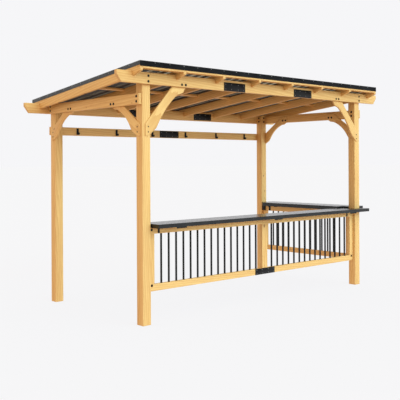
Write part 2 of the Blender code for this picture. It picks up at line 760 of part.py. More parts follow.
def make_front_counter(steel):
    """The long counter, cut round the right front post."""
    left = -INNER_X + FRONT_COUNTER_START
    inner = INNER_X - GAP
    right = POST_X + FRONT_COUNTER_PAST
    front = -POST_Y - FRONT_COUNTER_OUT
    back = -POST_Y + FRONT_COUNTER_IN
    outline = [
        (left, front),
        (right, front),
        (right, -POST_Y - GAP),
        (inner, -POST_Y - GAP),
        (inner, back),
        (left, back),
    ]
    supports = front_counter_supports(left, inner)
    tab_y = -POST_Y + (POST_WIDTH - END_TAB_WIDTH) / 2
    foot = FRONT_COUNTER_TOP - FRONT_COUNTER_LIP / 2
    low = (GAP - INNER_X, tab_y, FRONT_COUNTER_TOP - END_TAB_DROP)
    supports.append((low, (GAP - INNER_X + COUNTER_STEEL, tab_y + END_TAB_WIDTH, foot)))
    low = (GAP - INNER_X, tab_y, foot - COUNTER_STEEL)
    supports.append((low, (left + COUNTER_STEEL / 2, tab_y + END_TAB_WIDTH, foot)))
    make_counter("front_counter", outline, FRONT_COUNTER_TOP, FRONT_COUNTER_LIP, supports, steel)


def make_side_counter(steel):
    """The short counter, which starts behind the front one and laps the post."""
    left = POST_X - SIDE_COUNTER_IN
    right = POST_X + SIDE_COUNTER_OUT
    start = -POST_Y + FRONT_COUNTER_IN + COUNTER_CLEARANCE
    end = INNER_Y - SIDE_COUNTER_END
    outline = [
        (left, start),
        (INNER_X - GAP, start),
        (INNER_X - GAP, -INNER_Y + COUNTER_CLEARANCE),
        (POST_X + COUNTER_CLEARANCE, -INNER_Y + COUNTER_CLEARANCE),
        (POST_X + COUNTER_CLEARANCE, -POST_Y),
        (right, -POST_Y),
        (right, end),
        (left, end),
    ]
    buried = SIDE_COUNTER_TOP - COUNTER_STEEL / 2
    rail_face = POST_X - RAIL_SETBACK - RAIL_THICKNESS - GAP
    supports = []
    for y in (-SIDE_BRACKET_SPACING / 2, SIDE_BRACKET_SPACING / 2):
        for near, far in bracket_legs(y):
            low = (left + COUNTER_STEEL / 2, near, RAIL_TOP + GAP)
            supports.append((low, (right - COUNTER_STEEL / 2, far, buried)))
    for y in (start + STRAP_INSET, INNER_Y - STRAP_INSET):
        low = (rail_face - COUNTER_STEEL, y - STRAP_WIDTH / 2, RAIL_TOP - STRAP_DROP)
        supports.append((low, (rail_face, y + STRAP_WIDTH / 2, buried)))
    tab_x = INNER_X + (POST_WIDTH - END_TAB_WIDTH) / 2
    tab_y = INNER_Y - GAP
    foot = SIDE_COUNTER_TOP - SIDE_COUNTER_LIP / 2
    low = (tab_x, tab_y - COUNTER_STEEL, SIDE_COUNTER_TOP - END_TAB_DROP)
    supports.append((low, (tab_x + END_TAB_WIDTH, tab_y, foot)))
    low = (tab_x, end - COUNTER_STEEL / 2, foot - COUNTER_STEEL)
    supports.append((low, (tab_x + END_TAB_WIDTH, tab_y, foot)))
    make_counter("side_counter", outline, SIDE_COUNTER_TOP, SIDE_COUNTER_LIP, supports, steel)


def main():
    """Build the whole shelter."""
    for old in list(bpy.data.objects):
        bpy.data.objects.remove(old)
    wood = make_material("cedar", (0.72, 0.47, 0.22), 0.6)
    black_steel = make_material("black_steel", (0.02, 0.02, 0.022), 0.45, 0.3)
    counter_steel = make_material("counter_steel", (0.03, 0.031, 0.033), 0.35, 0.3)
    roof_steel = make_material("roof_steel", (0.06, 0.065, 0.07), 0.4, 0.4)

    make_posts(wood)
    make_long_beam("front", -BEAM_Y, FRONT_BEAM_BOTTOM, wood)
    make_long_beam("back", BEAM_Y, BACK_BEAM_BOTTOM, wood)
    make_side_beams(wood)
    make_braces(wood)
    make_rafters(wood)
    make_purlins(wood)
    make_roof_panels(roof_steel)
    make_roof_trims(roof_steel)
    make_plates(black_steel)
    make_hook_bar(wood)
    make_hooks(black_steel)
    make_railings(wood)
    make_front_counter(counter_steel)
    make_side_counter(counter_steel)


main()
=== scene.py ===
"""Looks of the hardtop grill gazebo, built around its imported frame.

The file is laid out as an add-on and run as a script: it dresses the frame's own
timbers and sheets, makes the railings, the counters and the eave trims anew, adds strips
under the front purlin, bolts and screws, and sets the stage.
"""

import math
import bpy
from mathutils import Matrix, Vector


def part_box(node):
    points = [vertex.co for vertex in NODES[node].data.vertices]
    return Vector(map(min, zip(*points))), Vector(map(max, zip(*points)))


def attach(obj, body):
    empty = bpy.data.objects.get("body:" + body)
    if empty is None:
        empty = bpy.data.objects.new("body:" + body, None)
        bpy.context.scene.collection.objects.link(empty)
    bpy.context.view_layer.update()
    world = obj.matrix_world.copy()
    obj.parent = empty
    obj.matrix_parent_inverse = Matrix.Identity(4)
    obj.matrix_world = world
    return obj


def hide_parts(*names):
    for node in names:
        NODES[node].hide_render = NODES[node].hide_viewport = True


bl_info = {
    "name": "Grill Gazebo Finish",
    "version": (1, 0, 0),
    "blender": (4, 5, 0),
    "location": "View3D > Sidebar > Gazebo",
    "description": "Finishes a timber grill gazebo with a steel roof and counters",
    "category": "Object",
}

import bmesh
import bpy
from bpy.props import FloatProperty, FloatVectorProperty, IntProperty, PointerProperty
from mathutils import Matrix, Vector

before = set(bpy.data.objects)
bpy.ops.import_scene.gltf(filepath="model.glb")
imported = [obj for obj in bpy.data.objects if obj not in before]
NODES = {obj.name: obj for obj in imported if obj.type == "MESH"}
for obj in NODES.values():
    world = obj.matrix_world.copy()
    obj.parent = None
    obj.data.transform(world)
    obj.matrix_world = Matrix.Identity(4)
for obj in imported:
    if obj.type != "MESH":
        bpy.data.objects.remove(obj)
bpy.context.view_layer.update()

AXES = {"x": (1, 0, 0), "y": (0, 1, 0), "z": (0, 0, 1)}
FRONT, BACK = Vector((0, -1, 0)), Vector((0, 1, 0))
LEFT, RIGHT = Vector((-1, 0, 0)), Vector((1, 0, 0))

# Grain of the braces: share across and share up
FRONT_BRACE_SLOPE = (0.70, 0.76)
SIDE_BRACE_SLOPE = (0.78, 0.62)

# Edges and seams: lengths in metres, angles in radians
EDGE_STEPS = 2
SHARP_EDGE = math.radians(30)
ROUND_BELOW = math.radians(35)
WELD_REACH = 0.00002
TOUCH = 0.0003
RAIL_SEAM = 0.0002
BAR_TENON = 0.004

# A reach runs inward from a corner post's outer face, a rise goes up from an underside and
# a drop goes down from an upper edge.

# Bolts, in metres
WASHER_THICKNESS = 0.0015
HEAD_RIM = 0.0008
SOCKET_DEPTH = 0.0022
NUT_HEIGHT = 0.0064
NUT_CHAMFER = 0.0006
THREAD_RADIUS = 0.0039
THREAD_TIP_RADIUS = 0.0032
THREAD_STANDS = 0.0038
THREAD_TAPER = 0.0008
THREAD_SUNK = 0.001
BOLT_PAIR_ON_FRONT_BEAM = (0.031, 0.081)
BOLT_PAIR_ON_SIDE_BEAM = (0.026, 0.072)
BOLT_PAIR_ON_HOOK_BAR = (0.020, 0.062)
FRONT_BRACE_HEAD_BOLTS = (0.438, 0.485)
FRONT_BRACE_HEAD_RISE = 0.021
SIDE_BRACE_HEAD_BOLTS = (0.401, 0.448)
SIDE_BRACE_HEAD_RISE = 0.028
RAILING_BOLT_REACH = 0.124
RAILING_BOLT_HEIGHTS = (0.346, 0.853)

# Forms of heads and nuts: numbers of sides and steps, and shares of a radius or height
HEAD_STEPS = 5
HEAD_FOOT = 0.98
DOME_RISE = 0.8
SOCKET_MOUTH = 0.9
SOCKET_FLOOR = 0.95
NUT_SIDES = 6
NUT_FOOT = 0.94
NUT_TOP = 0.9
SCREW_SIDES = 14
SCREW_PROFILE = ((1, 0), (0.96, 0.22), (0.72, 0.42), (0.45, 0.48), (0.36, 0.30))

# Screws, in metres
BRACE_SCREW_HEIGHTS = (1.787, 1.740)
BRACE_SCREW_REACH = 0.062
BRACE_SCREW_RADIUS = 0.0062
PLATE_SCREW_INSETS = (0.022, 0.100)
PLATE_SCREW_SHARES = (0.23, 0.77)
STRAP_SCREW_RISES = (0.012, 0.046)
HOOK_SCREW_DROPS = (0.010, 0.027)
HOOK_SCREW_SHARE = 0.8
HOOK_STEEL = 0.003
TRIM_SCREW_RADIUS = 0.0032
TRIM_SCREW_PITCH = 0.165
TRIM_SCREW_DROP = 0.012
TRIM_SCREW_STANDS = 0.0016
SHEET_SCREW_RADIUS = 0.0065

# Counters, in metres
STEEL = 0.0025
COUNTER_FOLD = 0.0018
BRACKET_WIDTH = 0.120
BRACKET_SHOWS = 0.011
FRONT_LIP = 0.036
FRONT_START = 0.010
FRONT_BRACKETS = (-1.254, 0.067, 1.356)
STRAP_WIDTH = 0.022
STRAP_INSET = 0.116
END_TAB_WIDTH = 0.077
END_TAB_DROP = 0.080
SIDE_LIP = 0.044
SIDE_CLEARANCE = 0.002
SIDE_END_GAP = 0.010
SIDE_FRONT_END = -0.765
SIDE_CORNER_CUT = 0.105
SIDE_BRACKETS = (-0.450, 0.450)
SIDE_STRAP_WIDTH = 0.030
SIDE_STRAP_INSET = 0.124
END_BRACKET_PROUD = 0.018
END_BRACKET_WIDTH = 0.050
END_BRACKET_DROP = 0.110

# Roof: number of ribs, and lengths in metres
EAVE_LEG_BELOW_FRAME = 0.012
EAVE_STEEL = 0.0015
STRIP_WIDTH = 0.044
STRIP_DEPTH = 0.010
RIB_COUNT = 34
ROOF_EDGE_FLAT = 0.055
ROOF_SHEET = 0.002

# Stage: the sky's heights run from -1 to 1, and the camera's sensor is in millimetres
WARM_BELOW = -0.40
PALE_ABOVE = 0.05
KEY_FROM = (0.30, -1.0, 0.36)
KEY_SPREAD = math.radians(50)
FLOOR_HALF = 300
FLOOR_DROP = 0.0005
CAMERA_PLACE = (-5.4405, -5.8545, 1.459)
CAMERA_SHIFT = -0.09275
CAMERA_SENSOR = 36
CAMERA_REACH = 500


# Settings
def colour_setting(name, description, default):
    """A colour that the sidebar shows."""
    return FloatVectorProperty(
        name=name, description=description, default=default, subtype="COLOR", min=0, max=1
    )


def length_setting(name, description, default):
    """A length in metres that the sidebar shows."""
    return FloatProperty(
        name=name, description=description, default=default, unit="LENGTH", min=0, precision=4
    )


def number_setting(name, description, default, **more):
    """A number that the sidebar shows."""
    return FloatProperty(name=name, description=description, default=default, **more)


def count_setting(name, description, default, least=1):
    """A whole number that the sidebar shows."""
    return IntProperty(name=name, description=description, default=default, min=least)


class TimberSettings(bpy.types.PropertyGroup):
    """Colours and edges of the softwood."""

    early_wood: colour_setting("Early wood", "Pale wood between the growth lines", (0.80, 0.515, 0.20))
    late_wood: colour_setting("Late wood", "Darker wood of the growth lines", (0.64, 0.35, 0.115))
    knot: colour_setting("Knot", "Heart of a knot", (0.22, 0.085, 0.025))
    end_grain: colour_setting("End grain", "Sawn ends of the timbers", (0.66, 0.40, 0.16))
    worn_edge: colour_setting("Worn edge", "Rubbed edges of the timbers", (0.92, 0.70, 0.42))
    edge_radius: length_setting("Eased edge", "Rounding of the planed edges", 0.0025)
    grain_stretch: number_setting(
        "Grain stretch", "How much longer than wide the grain runs", 16, min=1
    )
    ring_scale: number_setting("Ring scale", "Closeness of the growth lines", 26)
    fibre_scale: number_setting("Fibre scale", "Closeness of the fibres", 260)
    knot_scale: number_setting("Knot scale", "Closeness of the knots", 7.5)
    knot_size: number_setting("Knot size", "Size of the largest knots", 0.11)


class SteelSettings(bpy.types.PropertyGroup):
    """Colours of the painted steel."""

    plate: colour_setting("Plates", "Powder coat on plates, hooks and bolts", (0.0035, 0.0035, 0.004))
    screw: colour_setting("Plate screws", "Worn coat on small screw heads", (0.085, 0.080, 0.075))
    rubbed: colour_setting("Rubbed edges", "Edges of painted steel", (0.10, 0.10, 0.105))
    rubbed_rake: colour_setting("Rubbed rake edges", "Edges of the side trims", (0.20, 0.21, 0.22))
    counter: colour_setting("Counters", "Powder coat on the counters", (0.006, 0.0064, 0.0075))
    sheet: colour_setting("Roof sheets", "Paint on the ribbed sheets", (0.006, 0.007, 0.009))
    # The rib-flank colour is a painted highlight: pale streaks on the ribs' undersides that stand in
    # for reflections of the pale floor.
    flank_glint: colour_setting("Rib flanks", "Back coat on the ribs, seen from below", (0.78, 0.92, 1.0))
    eave: colour_setting("Eave trims", "Paint on the front and back trims", (0.0028, 0.003, 0.0038))
    rake: colour_setting("Rake trims", "Paint on the trims of the two sides", (0.028, 0.032, 0.038))
    zinc: colour_setting("Trim screws", "Bare heads of the trim screws", (0.62, 0.62, 0.60))
    dull_zinc: colour_setting("Dull zinc", "Bloom on the trim screws", (0.42, 0.42, 0.41))
    edge_radius: length_setting("Folded edge", "Rounding of plates and folds", 0.0006)


class HardwareSettings(bpy.types.PropertyGroup):
    """Sizes of bolts and screws."""

    washer_radius: length_setting("Washer radius", "Washers under bolt heads and nuts", 0.0120)
    head_radius: length_setting("Bolt head radius", "Domed bolt heads", 0.0095)
    head_height: length_setting("Bolt head height", "Domed bolt heads", 0.0050)
    nut_radius: length_setting("Nut radius", "Nuts, measured over their corners", 0.0095)
    screw_radius: length_setting("Screw radius", "Pan heads of the plate screws", 0.0052)
    turned_sides: count_setting("Turned sides", "Sides of a round head", 20, least=8)


class RailingSettings(bpy.types.PropertyGroup):
    """Round bars of the railings."""

    bar_diameter: length_setting("Bar diameter", "Round black bars", 0.0190)
    bar_sides: count_setting("Bar sides", "Sides of a bar", 28, least=8)
    front_bars: count_setting("Front bars", "Bars in each length of the front railing", 15)
    side_bars: count_setting("Side bars", "Bars in the railing on the right", 13)
    side_pitch: length_setting("Side pitch", "From bar to bar in the railing on the right", 0.0905)
    left_pitch: length_setting("Left pitch", "From bar to bar in the left front length", 0.0897)
    left_shift: length_setting("Left shift", "Bars of that length, right of its middle", 0.0054)
    rail_height: length_setting("Rail height", "Height of a rail's section", 0.0625)
    end_stile: length_setting("End stile", "Width of a stile beside a post", 0.063)
    middle_stile: length_setting("Middle stile", "Width of a stile at the joint", 0.039)


class StageSettings(bpy.types.PropertyGroup):
    """Camera, light and floor."""

    backdrop: colour_setting("Backdrop", "Pale studio background", (0.9216, 0.9216, 0.9387))
    floor: colour_setting("Floor", "What the floor shows of shadows", (0.05, 0.05, 0.05))
    floor_glow: number_setting(
        "Floor glow", "Share of the backdrop's light that the floor gives", 0.935, min=0
    )
    fill: colour_setting("Fill", "Soft light from above", (1.0, 0.88, 0.71))
    bounce: colour_setting("Bounce", "Warm light from below", (0.575, 0.385, 0.23))
    key: colour_setting("Key", "Colour of the soft light from the front", (0.46, 0.80, 0.96))
    sky_strength: number_setting("Sky strength", "Even light from all round", 1.15, min=0)
    key_strength: number_setting("Key strength", "Soft light from the front", 2.95, min=0)
    lens: number_setting("Lens", "Focal length in millimetres on a 36 mm sensor", 63.62)
    turn: number_setting(
        "Turn", "Direction of view from +Y to +X", math.radians(41.74), subtype="ANGLE"
    )
    roll: number_setting(
        "Roll", "Tilt of the camera on its axis", math.radians(-0.263), subtype="ANGLE"
    )


def settings(kind):
    """One of this file's groups of settings."""
    return getattr(bpy.context.scene, "gazebo_" + kind)


# Shader helpers
class Nodes:
    """Builds the node tree of a material or a world in short calls."""

    def __init__(self, owner):
        owner.use_nodes = True
        self.owner = owner
        self.tree = owner.node_tree
        self.shader = self.tree.nodes.get("Principled BSDF")

    def add(self, kind, inputs=(), **values):
        """Add a node, set its fields, and link or set its inputs by name or number."""
        node = self.tree.nodes.new("ShaderNode" + kind)
        for key, value in values.items():
            setattr(node, key, value)
        for key, value in dict(inputs).items():
            self.feed(node.inputs[key], value)
        return node

    def feed(self, socket, value):
        """Link a socket to another, or give it a constant."""
        if isinstance(value, bpy.types.NodeSocket):
            self.tree.links.new(value, socket)
        elif socket.type == "RGBA":
            socket.default_value = (*tuple(value)[:3], 1.0)
        else:
            socket.default_value = value

    def math(self, operation, first, second=0.0):
        """One number from two."""
        return self.add("Math", {0: first, 1: second}, operation=operation).outputs[0]

    def vector(self, operation, first, second=(0, 0, 0)):
        """One vector from two."""
        return self.add("VectorMath", {0: first, 1: second}, operation=operation).outputs["Vector"]

    def dot(self, first, second):
        """Dot product of two vectors."""
        node = self.add("VectorMath", {0: first, 1: second}, operation="DOT_PRODUCT")
        return node.outputs["Value"]

    def noise(self, place, scale, detail=2.0, roughness=0.5, distortion=0.0):
        """Noise from 0 to 1."""
        inputs = {
            "Vector": place, "Scale": scale, "Detail": detail,
            "Roughness": roughness, "Distortion": distortion,
        }
        return self.add("TexNoise", inputs).outputs["Fac"]

    def remap(self, value, low, high, to_low=0.0, to_high=1.0):
        """A smooth step of a number from one range to another."""
        inputs = {"Value": value, 1: low, 2: high, 3: to_low, 4: to_high}
        node = self.add("MapRange", inputs, interpolation_type="SMOOTHSTEP")
        return node.outputs["Result"]

    def scale(self, vector, factor):
        """A vector made longer or shorter."""
        inputs = {0: vector, "Scale": factor}
        return self.add("VectorMath", inputs, operation="SCALE").outputs["Vector"]

    def mix(self, share, first, second):
        """Mix two colours."""
        inputs = {0: share, 6: first, 7: second}
        return self.add("Mix", inputs, data_type="RGBA").outputs[2]

    def edge_mask(self, radius):
        """Close to 1 on sharp edges, and 0 on flats."""
        soft = self.add("Bevel", {"Radius": radius}, samples=4).outputs["Normal"]
        normal = self.add("NewGeometry").outputs["Normal"]
        return self.remap(self.dot(soft, normal), 0.995, 0.90)

    def bump(self, height, strength, distance):
        """Bump the surface."""
        inputs = {"Height": height, "Strength": strength, "Distance": distance}
        self.feed(self.shader.inputs["Normal"], self.add("Bump", inputs).outputs["Normal"])


# Materials
def wood(key, direction):
    """Softwood whose grain runs along a direction."""
    name = f"cedar_{key}"
    if name in bpy.data.materials:
        return bpy.data.materials[name]
    timber = settings("timber")
    along = Vector(direction).normalized()
    n = Nodes(bpy.data.materials.new(name))
    place = n.add("TexCoord").outputs["Object"]
    run = n.dot(place, along)
    squeeze = n.scale(along, n.math("MULTIPLY", run, 1 / timber.grain_stretch - 1))
    grain = n.vector("ADD", place, squeeze)

    drift = n.noise(grain, 5.0, 2.0)
    shade = n.noise(grain, 22.0, 3.0, 0.6)
    scatter = n.add("TexNoise", {"Vector": grain, "Scale": 7.0}).outputs["Color"]
    warp = n.add("Mix", {0: 0.045, 4: grain, 5: scatter}, data_type="VECTOR").outputs[1]
    rings = n.add(
        "TexWave",
        {"Vector": warp, "Scale": timber.ring_scale, "Distortion": 2.2, "Detail": 2.0,
         "Detail Scale": 1.4, "Detail Roughness": 0.6},
        wave_type="BANDS", bands_direction="DIAGONAL", wave_profile="SAW",
    ).outputs["Fac"]
    fibre = n.noise(grain, timber.fibre_scale, 3.0, 0.75)

    figure = n.math("MULTIPLY", rings, 0.42)
    figure = n.math("ADD", figure, n.math("MULTIPLY", fibre, 0.40))
    figure = n.math("ADD", figure, n.math("MULTIPLY", shade, 0.55))
    figure = n.math("ADD", figure, n.math("MULTIPLY", drift, 0.60))
    figure = n.remap(figure, 0.62, 1.35)
    colour = n.mix(figure, timber.early_wood, timber.late_wood)

    knot_place = n.vector("ADD", place, n.scale(along, n.math("MULTIPLY", run, -0.45)))
    cells = n.add("TexVoronoi", {"Vector": knot_place, "Scale": timber.knot_scale, "Randomness": 1.0})
    size = n.add("SeparateColor", {0: cells.outputs["Color"]}).outputs[0]
    size = n.math("MULTIPLY", n.math("POWER", size, 3.0), timber.knot_size)
    knots = n.math("SUBTRACT", cells.outputs["Distance"], size)
    halo = n.remap(knots, 0.075, 0.0)
    heart = n.remap(knots, 0.012, -0.012)
    colour = n.mix(n.math("MULTIPLY", halo, 0.45), colour, timber.late_wood)
    colour = n.mix(n.math("MULTIPLY", heart, 0.85), colour, timber.knot)

    normal = n.add("NewGeometry").outputs["Normal"]
    facing = n.math("ABSOLUTE", n.dot(normal, along))
    sawn = n.remap(facing, 0.90, 0.98)
    sawn_colour = n.mix(n.noise(place, 160.0, 2.0), timber.end_grain, timber.late_wood)
    colour = n.mix(n.math("MULTIPLY", sawn, 0.6), colour, sawn_colour)

    worn = n.math("MULTIPLY", n.edge_mask(0.004), n.noise(place, 35.0, 2.0))
    colour = n.mix(n.math("MULTIPLY", worn, 0.35), colour, timber.worn_edge)
    n.feed(n.shader.inputs["Base Color"], colour)
    n.feed(n.shader.inputs["Roughness"], n.remap(fibre, 0.2, 0.8, 0.50, 0.68))
    n.shader.inputs["Specular IOR Level"].default_value = 0.35
    relief = n.math("ADD", n.math("MULTIPLY", fibre, 0.6), n.math("MULTIPLY", rings, 0.4))
    relief = n.math("SUBTRACT", relief, n.math("MULTIPLY", heart, 0.8))
    n.bump(relief, 0.35, 0.0006)
    return n.owner


def painted_flank_glints(n, place):
    """Painted highlights: pale streaks on the slanted sides of the ribs, on the underside alone,
    stronger towards the front eave.
    """
    normal = n.add("TexCoord").outputs["Normal"]
    slant = n.remap(n.math("ABSOLUTE", n.dot(normal, AXES["x"])), 0.45, 0.80)
    below = n.remap(n.dot(normal, AXES["z"]), -0.02, -0.25)
    # Painted light: the streaks grow brighter towards the front eave.
    brighter_to_eaves = n.remap(n.dot(place, AXES["y"]), -0.25, -0.75, 0.32, 1.0)
    glint_streaks = n.noise(n.vector("MULTIPLY", place, (30, 3.5, 90)), 1.0, 3.0, 0.6)
    share = n.math("MULTIPLY", n.remap(glint_streaks, 0.30, 0.48), brighter_to_eaves)
    return n.math("MULTIPLY", n.math("MULTIPLY", slant, below), share)


def painted_steel(name, base, roughness, grain=0.35, gloss=0.5, rubbed=None, flank_glint=None):
    """Powder-coated steel: fine orange peel, faint handling marks, rubbed edges, and painted highlights
    on the rib flanks below when a flank colour is given.
    """
    if name in bpy.data.materials:
        return bpy.data.materials[name]
    n = Nodes(bpy.data.materials.new(name))
    place = n.add("TexCoord").outputs["Object"]
    cloud = n.noise(place, 6.0, 3.0, 0.6)
    peel = n.noise(place, 900.0, 2.0, 0.5)
    marks = n.noise(place, 38.0, 5.0, 0.7, 0.6)
    lighter = tuple(min(1.0, channel * 1.9 + 0.004) for channel in base)
    colour = n.mix(n.remap(cloud, 0.3, 0.7), base, lighter)
    worn = n.math("MULTIPLY", n.edge_mask(0.0015), n.remap(marks, 0.40, 0.62))
    colour = n.mix(n.math("MULTIPLY", worn, 0.30), colour, rubbed or settings("steel").rubbed)
    # Painted highlights on the rib flanks below
    if flank_glint:
        colour = n.mix(painted_flank_glints(n, place), colour, flank_glint)
    n.feed(n.shader.inputs["Base Color"], colour)
    n.feed(n.shader.inputs["Roughness"], n.remap(marks, 0.25, 0.75, roughness - 0.06, roughness + 0.08))
    n.shader.inputs["Specular IOR Level"].default_value = gloss
    n.bump(peel, grain, 0.00025)
    return n.owner


def plate_paint():
    """Black coat on plates, hooks, bolts and bars."""
    return painted_steel("black_coat", settings("steel").plate, 0.45, gloss=0.20)


def screw_paint():
    """Worn coat on small screw heads."""
    return painted_steel("screw_coat", settings("steel").screw, 0.34, gloss=0.45)


def counter_paint():
    """Dark satin coat on the counters."""
    return painted_steel("counter_coat", settings("steel").counter, 0.20, 0.15, gloss=0.36)


def sheet_paint():
    """Dark coat on the ribbed roof sheets, with painted highlights streaked on the rib flanks below."""
    steel = settings("steel")
    return painted_steel("sheet_coat", steel.sheet, 0.50, 0.12, gloss=0.12, flank_glint=steel.flank_glint)


def eave_paint():
    """Nearly black coat on the front and back trims."""
    return painted_steel("eave_coat", settings("steel").eave, 0.42, 0.2, gloss=0.08)


def rake_paint():
    """Grey-blue coat on the trims of the two sides."""
    steel = settings("steel")
    return painted_steel("rake_coat", steel.rake, 0.38, 0.2, gloss=0.3, rubbed=steel.rubbed_rake)


def zinc():
    """Bare zinc of the small trim screws."""
    name = "zinc_screw"
    if name in bpy.data.materials:
        return bpy.data.materials[name]
    n = Nodes(bpy.data.materials.new(name))
    place = n.add("TexCoord").outputs["Object"]
    bloom = n.noise(place, 700.0, 3.0, 0.6)
    steel = settings("steel")
    n.feed(n.shader.inputs["Base Color"], n.mix(bloom, steel.zinc, steel.dull_zinc))
    n.feed(n.shader.inputs["Roughness"], n.remap(bloom, 0.2, 0.8, 0.28, 0.45))
    n.shader.inputs["Metallic"].default_value = 0.8
    n.bump(bloom, 0.2, 0.0001)
    return n.owner


# Mesh helpers
def new_piece(name, bm, finish, replaced=(), turned=False):
    """Turn a bmesh into a piece that rides on the frame."""
    bmesh.ops.recalc_face_normals(bm, faces=bm.faces)
    mesh = bpy.data.meshes.new(name)
    bm.to_mesh(mesh)
    bm.free()
    mesh.materials.append(finish)
    if turned:
        mesh.shade_smooth()
        mesh.set_sharp_from_angle(angle=ROUND_BELOW)
    piece = bpy.data.objects.new(name, mesh)
    bpy.context.scene.collection.objects.link(piece)
    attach(piece, "root")
    if replaced:
        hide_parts(*replaced)
    return piece


def add_block(bm, low, high):
    """Add a block between two corners."""
    size = Vector(high) - Vector(low)
    centre = (Vector(high) + Vector(low)) / 2
    made = bmesh.ops.create_cube(bm, size=1.0)
    bmesh.ops.scale(bm, vec=size, verts=made["verts"])
    bmesh.ops.translate(bm, vec=centre, verts=made["verts"])


def add_run(bm, section, start, stop):
    """Stretch a section of (y, z) points from one x to another."""
    ends = [[bm.verts.new((x, y, z)) for y, z in section] for x in (start, stop)]
    bm.faces.new(ends[0])
    bm.faces.new(ends[1][::-1])
    for index in range(len(section)):
        after = (index + 1) % len(section)
        bm.faces.new((ends[0][index], ends[0][after], ends[1][after], ends[1][index]))


def add_turned(bm, profile, place, direction, sides):
    """Turn a profile of (radius, height) points about a line, closed at its ends."""
    spin = direction.to_track_quat("Z", "Y").to_matrix().to_4x4()
    rings = []
    for radius, height in profile:
        ring = []
        for side in range(sides):
            turn = 2 * math.pi * side / sides
            point = Vector((radius * math.cos(turn), radius * math.sin(turn), height))
            ring.append(bm.verts.new(Vector(place) + spin @ point))
        rings.append(ring)
    for below, above in zip(rings, rings[1:]):
        for side in range(sides):
            after = (side + 1) % sides
            bm.faces.new((below[side], below[after], above[after], above[side]))
    bm.faces.new(rings[0][::-1])
    bm.faces.new(rings[-1])


def ease_edges(piece, radius):
    """Round a piece's sharp edges without touching its mesh."""
    weld = piece.modifiers.new("weld", "WELD")
    weld.merge_threshold = WELD_REACH
    bevel = piece.modifiers.new("eased_edges", "BEVEL")
    bevel.width = radius
    bevel.segments = EDGE_STEPS
    bevel.limit_method = "ANGLE"
    bevel.angle_limit = SHARP_EDGE
    bevel.harden_normals = True
    piece.data.shade_smooth()


def paint(piece, finish):
    """Give a piece one finish."""
    piece.data.materials.clear()
    piece.data.materials.append(finish)


def dress_timber(names, key, direction):
    """Ease the edges of frame timbers and give them wood."""
    radius = settings("timber").edge_radius
    for name in names:
        piece = NODES[name]
        paint(piece, wood(key, direction))
        ease_edges(piece, radius)


def named(start):
    """The frame's nodes whose names start so."""
    return sorted(name for name in NODES if name.startswith(start))


def joint_plates():
    """The frame's joint plates."""
    return sorted(name for name in NODES if "plate" in name)


def hooks():
    """The frame's hooks, without the bar that holds them."""
    return [name for name in named("hook_") if "bar" not in name]


def roof_fall():
    """Drop of the roof for each metre towards the back."""
    eave_low, eave_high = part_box("roof_trim_front")
    rake_low, rake_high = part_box("roof_trim_left")
    drop = (rake_high.z - rake_low.z) - (eave_high.z - eave_low.z)
    return drop / (rake_high.y - rake_low.y)


# Pieces
class GAZEBO_OT_posts_and_beams(bpy.types.Operator):
    """Finish the posts, the beams and the hook bar"""

    bl_idname = "gazebo.posts_and_beams"
    bl_label = "Posts and beams"

    def execute(self, context):
        dress_timber(named("post_"), "upright", AXES["z"])
        beams = [name for name in named("front_beam") + named("back_beam") if "plate" not in name]
        dress_timber(beams + ["hook_bar_left", "hook_bar_right"], "lengthwise", AXES["x"])
        dress_timber(named("side_beam"), "crosswise", AXES["y"])
        return {"FINISHED"}


class GAZEBO_OT_braces(bpy.types.Operator):
    """Finish the knee braces, with the grain along each brace"""

    bl_idname = "gazebo.braces"
    bl_label = "Knee braces"

    def execute(self, context):
        across, up = FRONT_BRACE_SLOPE
        dress_timber(["brace_front_left"], "brace_front_left", (across, 0, up))
        dress_timber(["brace_front_right"], "brace_front_right", (-across, 0, up))
        across, up = SIDE_BRACE_SLOPE
        dress_timber(["brace_left_front", "brace_right_front"], "brace_side_front", (0, across, up))
        dress_timber(["brace_left_back", "brace_right_back"], "brace_side_back", (0, -across, up))
        return {"FINISHED"}


class GAZEBO_OT_roof_frame(bpy.types.Operator):
    """Finish the rafters and the purlins, and add strips under the front purlin"""

    bl_idname = "gazebo.roof_frame"
    bl_label = "Rafters and purlins"

    def execute(self, context):
        dress_timber(named("rafter_"), "rafter", (0, 1, -roof_fall()))
        dress_timber(named("purlin_"), "lengthwise", AXES["x"])
        self.make_strips()
        return {"FINISHED"}

    def make_strips(self):
        """Strips that deepen the front purlin between the rafters."""
        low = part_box("purlin_1")[0]
        rear = low.y + STRIP_WIDTH
        rise = roof_fall() * STRIP_WIDTH
        top = low.z - TOUCH
        section = ((low.y, top + rise), (rear, top), (rear, top - STRIP_DEPTH),
                   (low.y, top + rise - STRIP_DEPTH))
        rafters = [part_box(name) for name in named("rafter_")]
        bm = bmesh.new()
        for before, after in zip(rafters, rafters[1:]):
            add_run(bm, section, before[1].x + TOUCH, after[0].x - TOUCH)
        new_piece("front_purlin_strips", bm, wood("lengthwise", AXES["x"]))


